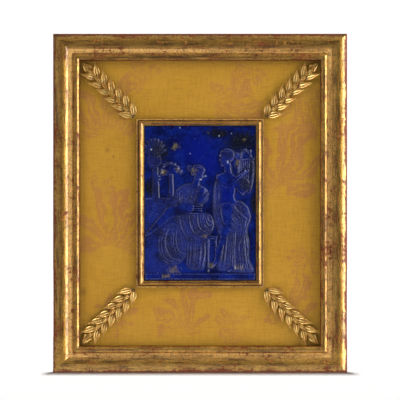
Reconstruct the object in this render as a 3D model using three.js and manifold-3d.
// Carved lapis lazuli relief in a gilded slip, on a silk-covered mount with four laurel sprays,
// inside a gilded moulded frame. Millimetres, +Z up. The front faces -Y, and the origin is the
// middle of the flat back, which rests on the wall.
import * as THREE from "three";
import { mergeVertices } from "three/addons/utils/BufferGeometryUtils.js";
import Module from "manifold-3d";

const wasm = await Module();
wasm.setup();

// Frame moulding, from its outer edge inwards
const FRAME_WIDTH = 206;
const FRAME_HEIGHT = 237.5;
const FRAME_DEPTH = 18;
const ARRIS_WIDTH = 0.9;
const ARRIS_DROP = 1;
const TORUS_WIDTH = 9.8;
const TORUS_RISE = 2;
const FILLET_WIDTH = 1.8;
const FILLET_STEP = 0.6;
const QUIRK_WIDTH = 0.6;
const BEAD_RADIUS = 2.5;
const BEAD_DROP = 1.2;
const SIGHT_SLOPE = 0.7;
const RABBET_WIDTH = 5;

// Panels in the rabbet, from the back
const BACKBOARD_THICKNESS = 3;
const MOUNT_BOARD_THICKNESS = 5.8;
const SILK_THICKNESS = 0.5;
const PANEL_CLEARANCE = 0.5;

// Lapis plaque and the slip round it
const SIGHT_WIDTH = 78.4;
const SIGHT_HEIGHT = 108.7;
const LAPIS_THICKNESS = 3;
const RELIEF_DEPTH = 2.2;
const SLIP_SIDE_WIDTH = 5.95;
const SLIP_END_WIDTH = 5.05;
const SLIP_LIP = 0.7;
const SLIP_CROWN = 1.7;
const SLIP_FILLET_STEP = 1;
const SLIP_LAP = 1.5;
const LAPIS_CLEARANCE = 0.3;

// Laurel sprays
const STEM_WIDTH = 2.6;
const STEM_HEIGHT = 2.2;
const SPRAY_END_GAP = 1.6;
const LEAF_PITCH = 7.4;
const LEAF_LENGTH = 12;
const LEAF_WIDTH = 4.1;
const LEAF_THICKNESS = 0.9;
const LEAF_ANGLE = 28;
const LEAF_RISE = 1.4;
const MIDDLE_LEAF_LENGTH = 9;
const MIDDLE_LEAF_WIDTH = 3.2;
const TERMINAL_LENGTH = 10;
const TERMINAL_WIDTH = 5.6;

// Size of the facets
const ARC_STEPS = 8;
const OUTLINE_STEPS = 48;
const FOLD_STEPS = 14;
const RELIEF_STEP = 1.95;
const FOLD_FADE = 0.4;
const LEAF_STATIONS = [0, 0.2, 0.5, 0.8];
const LEAF_ROOT_SHARE = 0.12;

// Where the slip's bead starts and ends, as shares of the slip's width from its outer edge
const SLIP_BEAD_SHARES = [0.2, 0.86];

const RAIL_WIDTH =
  ARRIS_WIDTH + TORUS_WIDTH + FILLET_WIDTH + QUIRK_WIDTH + 2 * BEAD_RADIUS + SIGHT_SLOPE;
const BOARD_FRONT = BACKBOARD_THICKNESS + MOUNT_BOARD_THICKNESS;
const SILK_FRONT = BOARD_FRONT + SILK_THICKNESS;
const OPENING_WIDTH = FRAME_WIDTH - 2 * RAIL_WIDTH;
const OPENING_HEIGHT = FRAME_HEIGHT - 2 * RAIL_WIDTH;
const PANEL_WIDTH = OPENING_WIDTH + 2 * (RABBET_WIDTH - PANEL_CLEARANCE);
const PANEL_HEIGHT = OPENING_HEIGHT + 2 * (RABBET_WIDTH - PANEL_CLEARANCE);
const SLIP_WIDTH = SIGHT_WIDTH + 2 * SLIP_SIDE_WIDTH;
const SLIP_HEIGHT = SIGHT_HEIGHT + 2 * SLIP_END_WIDTH;
const LAPIS_MARGIN = SLIP_LAP - LAPIS_CLEARANCE;

const finish = (color, roughness, metalness) =>
  new THREE.MeshStandardMaterial({ color, roughness, metalness });
const gilding = finish(0xb98a3c, 0.38, 1);
const giltMetal = finish(0xd2a24a, 0.3, 1);
const lapis = finish(0x12207a, 0.35, 0);
const silk = finish(0xbf8a32, 0.6, 0);
const limewood = finish(0xa9845a, 0.8, 0);

const part = new THREE.Group();

function place(name, geometry, material) {
  const mesh = new THREE.Mesh(geometry, material);
  mesh.name = name;
  part.add(mesh);
}

function closedGeometry(positions, index) {
  const geometry = new THREE.BufferGeometry();
  geometry.setAttribute("position", new THREE.Float32BufferAttribute(positions, 3));
  geometry.setIndex(index);
  return geometry;
}

// Mouldings

// A point of a moulding's section: how far it is from the outer edge on the two sides and on the
// two ends of the frame, and how high.
const corner = (side, end, height) => ({ side, end, height });
const even = (inset, height) => corner(inset, inset, height);

// Section points of a rounded member, an arc of a circle from its inner to its outer foot.
function roundMember(inner, outer, foot, rise) {
  const half = (inner - outer) / 2;
  const radius = (half * half + rise * rise) / (2 * rise);
  const centre = foot + rise - radius;
  const reach = Math.atan2(half, foot - centre);
  return Array.from({ length: ARC_STEPS + 1 }, (_, i) => {
    const turn = reach * (1 - (2 * i) / ARC_STEPS);
    return even((inner + outer) / 2 + radius * Math.sin(turn), centre + radius * Math.cos(turn));
  });
}

function frameSection() {
  const torusIn = ARRIS_WIDTH + TORUS_WIDTH;
  const filletIn = torusIn + FILLET_WIDTH;
  const beadOut = filletIn + QUIRK_WIDTH;
  const beadIn = beadOut + 2 * BEAD_RADIUS;
  const torusFoot = FRAME_DEPTH - TORUS_RISE;
  const beadFoot = FRAME_DEPTH - BEAD_DROP - BEAD_RADIUS;
  return [
    even(0, 0),
    even(RAIL_WIDTH - RABBET_WIDTH, 0),
    even(RAIL_WIDTH - RABBET_WIDTH, SILK_FRONT),
    even(RAIL_WIDTH, SILK_FRONT),
    ...roundMember(beadIn, beadOut, beadFoot, BEAD_RADIUS),
    even(filletIn, torusFoot - FILLET_STEP),
    even(torusIn, torusFoot - FILLET_STEP),
    ...roundMember(torusIn, ARRIS_WIDTH, torusFoot, TORUS_RISE),
    even(0, torusFoot - ARRIS_DROP),
  ];
}

function slipSection() {
  const shoulder = LAPIS_THICKNESS + SLIP_LIP;
  const across = (share, height) => corner(share * SLIP_SIDE_WIDTH, share * SLIP_END_WIDTH, height);
  const lap = (height) => corner(SLIP_SIDE_WIDTH - SLIP_LAP, SLIP_END_WIDTH - SLIP_LAP, height);
  const [outer, inner] = SLIP_BEAD_SHARES;
  const bead = Array.from({ length: ARC_STEPS + 1 }, (_, i) => {
    const turn = (Math.PI * i) / ARC_STEPS;
    const share = THREE.MathUtils.lerp(outer, inner, (1 + Math.cos(turn)) / 2);
    return across(share, shoulder + SLIP_CROWN * Math.sin(turn));
  });
  return [
    across(0, 0),
    lap(0),
    lap(LAPIS_THICKNESS),
    across(1, LAPIS_THICKNESS),
    across(1, shoulder),
    ...bead,
    across(outer, shoulder - SLIP_FILLET_STEP),
    across(0, shoulder - SLIP_FILLET_STEP),
  ];
}

// The four lengths of a mitred surround that stands on the plane y = -base.
function surround(name, section, width, height, base, material) {
  const runs = {
    top: [[-1, 1], [1, 1]],
    right: [[1, 1], [1, -1]],
    bottom: [[1, -1], [-1, -1]],
    left: [[-1, -1], [-1, 1]],
  };
  const outline = section.map((p) => new THREE.Vector2(p.end, p.height));
  const caps = THREE.ShapeUtils.triangulateShape(outline, []);
  const count = section.length;
  for (const [side, ends] of Object.entries(runs)) {
    const positions = [];
    for (const [sx, sz] of ends) {
      for (const p of section) {
        positions.push(sx * (width / 2 - p.side), -(base + p.height), sz * (height / 2 - p.end));
      }
    }
    const index = caps.flatMap(([a, b, c]) => [a, b, c, count + a, count + c, count + b]);
    for (let i = 0; i < count; i++) {
      const next = (i + 1) % count;
      index.push(i, count + i, count + next, i, count + next, next);
    }
    place(`${name}_${side}`, closedGeometry(positions, index), material);
  }
}

// Relief

// The carving's height is a share of its depth. Its shapes are given in hundredths of the sight's
// height: x from the middle of the sight, z from its foot.
const dome = (share) => Math.sqrt(Math.max(0, 1 - share * share));

function nearest(x, z, a, b) {
  const reach = (x - a.x) * (b.x - a.x) + (z - a.y) * (b.y - a.y);
  const share = THREE.MathUtils.clamp(reach / Math.max(1e-9, a.distanceToSquared(b)), 0, 1);
  const gap = Math.hypot(x - a.x - share * (b.x - a.x), z - a.y - share * (b.y - a.y));
  return { share, gap };
}

// A tapered round limb between two joints.
function limb(from, to, fromRadius, toRadius, base, rise) {
  const a = new THREE.Vector2(...from);
  const b = new THREE.Vector2(...to);
  return (x, z) => {
    const { share, gap } = nearest(x, z, a, b);
    const radius = THREE.MathUtils.lerp(fromRadius, toRadius, share);
    return gap < radius ? base + rise * dome(gap / radius) : 0;
  };
}

function oval([cx, cz], halfWidth, halfHeight, lean, base, rise) {
  const turn = THREE.MathUtils.degToRad(lean);
  return (x, z) => {
    const across = (x - cx) * Math.cos(turn) + (z - cz) * Math.sin(turn);
    const up = (z - cz) * Math.cos(turn) - (x - cx) * Math.sin(turn);
    const share = Math.hypot(across / halfWidth, up / halfHeight);
    return share < 1 ? base + rise * dome(share) : 0;
  };
}

function block(x0, x1, z0, z1, level) {
  return (x, z) => (x > x0 && x < x1 && z > z0 && z < z1 ? level : 0);
}

// A body of drapery or flesh with a smooth outline and a rounded edge.
function mass(outline, rounding, base, rise) {
  const knots = outline.map(([x, z]) => new THREE.Vector3(x, z, 0));
  const points = new THREE.CatmullRomCurve3(knots, true).getPoints(OUTLINE_STEPS).slice(0, -1);
  return (x, z) => {
    let inside = false;
    let gap = Infinity;
    points.forEach((a, i) => {
      const b = points[(i + 1) % points.length];
      const crossing = a.x + ((z - a.y) * (b.x - a.x)) / (b.y - a.y);
      gap = Math.min(gap, nearest(x, z, a, b).gap);
      if (a.y > z !== b.y > z && x < crossing) inside = !inside;
    });
    return inside ? base + rise * dome(1 - Math.min(1, gap / rounding)) : 0;
  };
}

// Ridges spread evenly between a first and a last fold, each fading out at its ends.
function folds(first, last, count, halfWidth, rise) {
  const ridges = Array.from({ length: count }, (_, i) => {
    const share = count > 1 ? i / (count - 1) : 0;
    const between = (point, k) => new THREE.Vector2(...point).lerp(new THREE.Vector2(...last[k]), share);
    return new THREE.SplineCurve(first.map(between)).getPoints(FOLD_STEPS);
  });
  return (x, z) => {
    let height = 0;
    for (const points of ridges) {
      for (let i = 1; i < points.length; i++) {
        const { share, gap } = nearest(x, z, points[i - 1], points[i]);
        const fade = Math.sin((Math.PI * (i - 1 + share)) / FOLD_STEPS) ** FOLD_FADE;
        height = Math.max(height, rise * fade * dome(gap / halfWidth));
      }
    }
    return height;
  };
}

// Folds that lie on a body.
function draped(body, ...families) {
  return (x, z) => {
    const level = body(x, z);
    return level > 0 ? level + Math.max(...families.map((family) => family(x, z))) : 0;
  };
}

function standingFigure() {
  const skirt = mass(
    [[13, 52], [23, 52], [29.5, 49], [32.5, 41], [30.3, 32], [31.5, 24], [31.3, 14], [34.6, 6],
      [24, 5.4], [17.5, 6.5], [10.5, 8.5], [13.6, 24], [11, 33], [9.2, 41]],
    3.5, 0.2, 0.34);
  const cloak = mass(
    [[11.4, 68], [8.6, 60], [8, 50], [9, 41], [13, 44], [13.6, 54], [13, 63]],
    2, 0.16, 0.24);
  const back = mass(
    [[11.4, 67.8], [15, 69.8], [20, 69.6], [23.2, 66.4], [22.8, 59], [22, 54], [23.6, 49.4],
      [13, 49.4], [13.2, 55], [11.8, 61]],
    4, 0.25, 0.5);
  return [
    draped(skirt,
      folds([[20, 51], [22, 46], [26, 42], [31, 40]], [[14, 50], [15, 43], [18, 37], [22, 33]],
        4, 1.1, 0.2),
      folds([[15.5, 31], [14, 20], [12, 9]], [[30, 31], [30.5, 18], [32.5, 7]], 6, 1.1, 0.2)),
    draped(cloak,
      folds([[10.6, 66], [9, 56], [9, 43]], [[12.4, 66], [12.8, 56], [12.4, 45]], 2, 0.9, 0.18)),
    back,
    limb([17.6, 47], [17.8, 36], 4, 3.2, 0.34, 0.42),
    limb([17.8, 36], [10.6, 13.5], 2.9, 1.6, 0.3, 0.36),
    limb([10.4, 12.6], [7.6, 8.4], 1.6, 1.2, 0.3, 0.3),
    limb([25, 46], [24.6, 30], 4.2, 3.4, 0.34, 0.3),
    limb([21, 9], [18.8, 6.4], 1.6, 1.2, 0.3, 0.3),
    limb([17.6, 75], [18, 68.6], 2.1, 2.5, 0.35, 0.4),
    oval([14.8, 78.6], 4, 5.4, 10, 0.35, 0.6),
    oval([17.4, 80], 5, 5.5, 0, 0.3, 0.58),
    oval([22, 78.8], 2.1, 2.4, 0, 0.2, 0.4),
    limb([12.6, 66.4], [18, 61.8], 2.4, 2, 0.45, 0.5),
    limb([18, 61.8], [28.6, 69.6], 1.9, 1.2, 0.45, 0.5),
    oval([30, 70.6], 1.7, 1.3, 35, 0.4, 0.45),
    limb([22.6, 62.6], [27.6, 56.4], 1.7, 1.4, 0.2, 0.4),
  ];
}

function lyre() {
  const horn = (path) => folds(path, path, 1, 1.05, 0.42);
  return [
    oval([27.6, 61.4], 4.7, 5, 0, 0.2, 0.42),
    horn([[31.4, 56], [33.6, 66], [34, 75], [31.6, 83]]),
    horn([[25, 64], [24.6, 72], [26, 80], [29, 84]]),
    limb([25, 78], [34, 78.4], 0.8, 0.8, 0.1, 0.3),
  ];
}

function seatedFigure() {
  const lap = mass(
    [[-16, 43.6], [-6, 43.6], [2, 43.4], [9, 41], [10.6, 34], [8.6, 28], [4.6, 25], [3, 15],
      [0, 7], [-8, 5], [-18, 5.6], [-25, 9], [-27.4, 17], [-26.4, 27], [-23, 34], [-19, 39]],
    3.5, 0.16, 0.3);
  const chest = mass(
    [[-16.6, 49], [-16.6, 56], [-12.6, 61], [-6, 63], [0, 62], [4.6, 58.6], [5, 53], [1.6, 49],
      [-8, 48]],
    4.5, 0.2, 0.42);
  return [
    draped(lap,
      folds([[-13, 43], [-12, 34], [-9, 28], [-4, 24]], [[0, 43], [0, 38], [2, 33], [6, 32]],
        4, 1.2, 0.24),
      folds([[1, 40], [2.4, 34], [6, 31], [9.6, 35]], [[4, 42], [5, 39], [6.6, 38], [8.6, 40]],
        2, 1, 0.22),
      folds([[-24, 33], [-26, 22], [-23, 11], [-13, 8]], [[-13, 33], [-12, 25], [-10, 17], [-6, 12]],
        3, 1.2, 0.24),
      folds([[-6, 25], [-6, 15], [-8, 8]], [[3, 25], [2, 15], [0, 8]], 3, 1.1, 0.2)),
    draped(chest,
      folds([[-15, 57], [-15, 52], [-13, 49]], [[3, 60], [0, 54], [-3, 49]], 4, 1.1, 0.2)),
    limb([-8, 47.4], [-19.6, 44], 4.2, 3.7, 0.2, 0.4),
    limb([-19.6, 44], [-31.4, 32.4], 3.7, 1.9, 0.22, 0.42),
    limb([-31.4, 32.2], [-34.6, 29.6], 1.8, 1.2, 0.2, 0.36),
    limb([-3.4, 61], [-1.6, 66], 2.3, 2.1, 0.3, 0.36),
    oval([-0.6, 68.6], 4.2, 5.2, 24, 0.35, 0.55),
    oval([-2.6, 70.4], 5, 5.4, 24, 0.3, 0.52),
    oval([-7.6, 71.4], 2, 2.2, 0, 0.2, 0.36),
    limb([1.4, 58.6], [-1.4, 50.4], 2.3, 1.8, 0.42, 0.42),
    limb([-1.4, 50.4], [3.6, 54], 1.7, 1.2, 0.46, 0.42),
    block(-15.6, 1.6, 46.6, 49.4, 0.6),
    block(-14.8, 0.8, 42.8, 46.2, 0.5),
    block(3.6, 11.4, 26.6, 29, 0.4),
    limb([5.2, 27], [5.2, 6], 0.9, 0.9, 0.1, 0.3),
    limb([10.2, 27], [10.2, 12], 0.9, 0.9, 0.1, 0.3),
  ];
}

function altarAndUrn() {
  const garland = [[-27, 65], [-23, 74.5], [-17, 75], [-12, 69.6]];
  const leaves = Array.from({ length: 7 }, (_, i) => {
    const turn = Math.PI * (0.12 + 0.76 * (i / 6));
    const tip = [-29.5 + 7 * Math.cos(turn), 82 + 9.4 * Math.sin(turn)];
    return limb([-29.5, 80], tip, 1.2, 0.8, 0.14, 0.26);
  });
  return [
    block(-37, -15, 0, 53.6, 0.1),
    block(-37, -14.2, 49, 53.6, 0.22),
    limb([-28.6, 54], [-29, 72], 2.5, 2, 0.14, 0.3),
    oval([-29.6, 77.4], 5, 5.4, 0, 0.16, 0.34),
    ...leaves,
    limb([-18.6, 54.6], [-18.8, 68], 1.8, 1.5, 0.12, 0.26),
    folds(garland, garland, 1, 1.3, 0.34),
  ];
}

const ground = [block(-37, 37, 0, 4.8, 0.3), block(-37, 37, 0, 2.2, 0.4)];
const carving = [...ground, ...altarAndUrn(), ...seatedFigure(), ...lyre(), ...standingFigure()];

// A slab with the carving on its front. The ring of facets outside the sight is flat, and the
// slip's lip lies on it.
function plaqueGeometry() {
  const columns = Math.round(SIGHT_WIDTH / RELIEF_STEP);
  const rows = Math.round(SIGHT_HEIGHT / RELIEF_STEP);
  const stops = (count, size) => [
    -size / 2 - LAPIS_MARGIN,
    ...Array.from({ length: count + 1 }, (_, i) => size * (i / count - 0.5)),
    size / 2 + LAPIS_MARGIN,
  ];
  const xs = stops(columns, SIGHT_WIDTH);
  const zs = stops(rows, SIGHT_HEIGHT);
  const positions = [];
  zs.forEach((z, j) => {
    xs.forEach((x, i) => {
      const inSight = i > 1 && j > 1 && i < xs.length - 2 && j < zs.length - 2;
      const hundredth = SIGHT_HEIGHT / 100;
      const spot = [x / hundredth, (z + SIGHT_HEIGHT / 2) / hundredth];
      const level = inSight ? Math.max(...carving.map((shape) => shape(...spot))) : 0;
      positions.push(x, -(SILK_FRONT + LAPIS_THICKNESS + RELIEF_DEPTH * Math.min(1, level)), z);
    });
  });
  const at = (i, j) => j * xs.length + i;
  const index = [];
  for (let j = 1; j < zs.length; j++) {
    for (let i = 1; i < xs.length; i++) {
      index.push(at(i - 1, j - 1), at(i, j - 1), at(i, j), at(i - 1, j - 1), at(i, j), at(i - 1, j));
    }
  }
  const rim = [
    ...xs.slice(1).map((_, i) => at(i, 0)),
    ...zs.slice(1).map((_, j) => at(xs.length - 1, j)),
    ...xs.slice(1).map((_, i) => at(xs.length - 1 - i, zs.length - 1)),
    ...zs.slice(1).map((_, j) => at(0, zs.length - 1 - j)),
  ];
  const back = positions.length / 3;
  rim.forEach((v) => positions.push(positions[3 * v], -SILK_FRONT, positions[3 * v + 2]));
  positions.push(0, -SILK_FRONT, 0);
  rim.forEach((front, i) => {
    const next = (i + 1) % rim.length;
    index.push(front, back + i, back + next, front, back + next, rim[next]);
    index.push(back + rim.length, back + next, back + i);
  });
  return closedGeometry(positions, index);
}

// Laurel sprays

function solidOf(geometry) {
  geometry.deleteAttribute("normal");
  geometry.deleteAttribute("uv");
  const merged = mergeVertices(geometry);
  return new wasm.Manifold(new wasm.Mesh({
    numProp: 3,
    vertProperties: merged.attributes.position.array,
    triVerts: new Uint32Array(merged.index.array),
  }));
}

// A pointed leaf with a ridge along its middle, in the spray's own frame: x runs along the stem,
// y across it and z off the silk. It springs from (root, 0, height) at an angle to the stem.
function leaf(root, height, angle, length, width, rise) {
  const positions = [];
  const index = [0, 3, 2, 0, 2, 1];
  for (const share of LEAF_STATIONS) {
    const half = (width / 2) * Math.sin(Math.PI * THREE.MathUtils.lerp(LEAF_ROOT_SHARE, 1, share));
    const lift = height + rise * share;
    positions.push(share * length, -half, lift, share * length, 0, lift - LEAF_THICKNESS / 2);
    positions.push(share * length, half, lift, share * length, 0, lift + LEAF_THICKNESS / 2);
  }
  const tip = 4 * LEAF_STATIONS.length;
  positions.push(length, 0, height + rise);
  for (let s = 0; s < LEAF_STATIONS.length; s++) {
    for (let k = 0; k < 4; k++) {
      const a = 4 * s + k;
      const b = 4 * s + ((k + 1) % 4);
      if (s === LEAF_STATIONS.length - 1) index.push(a, b, tip);
      else index.push(a, b, b + 4, a, b + 4, a + 4);
    }
  }
  const geometry = closedGeometry(positions, index);
  geometry.rotateZ(THREE.MathUtils.degToRad(angle));
  return solidOf(geometry.translate(root, 0, 0));
}

function stem(length) {
  const outline = new THREE.Shape([
    new THREE.Vector2(-STEM_WIDTH / 2, 0),
    new THREE.Vector2(STEM_WIDTH / 2, 0),
    new THREE.Vector2(STEM_WIDTH / 4, STEM_HEIGHT),
    new THREE.Vector2(-STEM_WIDTH / 4, STEM_HEIGHT),
  ]);
  const bar = new THREE.ExtrudeGeometry(outline, { depth: length, bevelEnabled: false });
  // The bar is drawn along +Z with its height along +Y, and turned to run along +X with +Z up.
  const turn = new THREE.Matrix4().set(0, 0, 1, 0, 1, 0, 0, 0, 0, 1, 0, 0, 0, 0, 0, 1);
  return solidOf(bar.applyMatrix4(turn));
}

// A spray of side leaves in pairs, smaller leaves along the stem's crest and a broad last leaf.
function spraySolid(length) {
  const stemLength = length - TERMINAL_LENGTH + LEAF_THICKNESS;
  const pairs = Math.max(1, Math.round(stemLength / LEAF_PITCH));
  const pitch = stemLength / pairs;
  const leaves = [leaf(length - TERMINAL_LENGTH, STEM_HEIGHT, 0, TERMINAL_LENGTH, TERMINAL_WIDTH, 0)];
  for (let i = 0; i < pairs; i++) {
    for (const angle of [-LEAF_ANGLE, LEAF_ANGLE]) {
      leaves.push(leaf(i * pitch, STEM_HEIGHT / 2, angle, LEAF_LENGTH, LEAF_WIDTH, LEAF_RISE));
    }
    const crest = (i + 0.5) * pitch;
    leaves.push(leaf(crest, STEM_HEIGHT, 0, MIDDLE_LEAF_LENGTH, MIDDLE_LEAF_WIDTH, LEAF_RISE));
  }
  return leaves.reduce((spray, next) => spray.add(next), stem(stemLength));
}

// Sprays run from the slip's outer corners to the corners of the frame's opening.
function placeSprays() {
  const from = new THREE.Vector2(SLIP_WIDTH / 2, SLIP_HEIGHT / 2);
  const to = new THREE.Vector2(OPENING_WIDTH / 2, OPENING_HEIGHT / 2);
  const along = to.clone().sub(from).normalize();
  const start = from.clone().addScaledVector(along, SPRAY_END_GAP);
  const solid = spraySolid(from.distanceTo(to) - 2 * SPRAY_END_GAP).getMesh();
  const quarters = {
    top_left: [-1, 1],
    top_right: [1, 1],
    bottom_left: [-1, -1],
    bottom_right: [1, -1],
  };
  for (const [name, [sx, sz]] of Object.entries(quarters)) {
    const positions = [];
    for (let v = 0; v < solid.vertProperties.length; v += solid.numProp) {
      const [run, across, height] = solid.vertProperties.slice(v, v + 3);
      const x = start.x + run * along.x - across * along.y;
      const z = start.y + run * along.y + across * along.x;
      positions.push(sx * x, -(SILK_FRONT + height), sz * z);
    }
    const index = Array.from(solid.triVerts);
    if (sx * sz < 0) index.reverse();
    place(`laurel_spray_${name}`, closedGeometry(positions, index), giltMetal);
  }
}

// Flat panels in the rabbet
function placePanel(name, back, thickness, material) {
  const panel = new THREE.BoxGeometry(PANEL_WIDTH, thickness, PANEL_HEIGHT);
  place(name, panel.translate(0, -back - thickness / 2, 0), material);
}

surround("frame_rail", frameSection(), FRAME_WIDTH, FRAME_HEIGHT, 0, gilding);
placePanel("backboard", 0, BACKBOARD_THICKNESS, limewood);
placePanel("mount_board", BACKBOARD_THICKNESS, MOUNT_BOARD_THICKNESS, limewood);
placePanel("silk_cover", BOARD_FRONT, SILK_THICKNESS, silk);
surround("slip", slipSection(), SLIP_WIDTH, SLIP_HEIGHT, SILK_FRONT, gilding);
place("lapis_plaque", plaqueGeometry(), lapis);
placeSprays();

export default part;
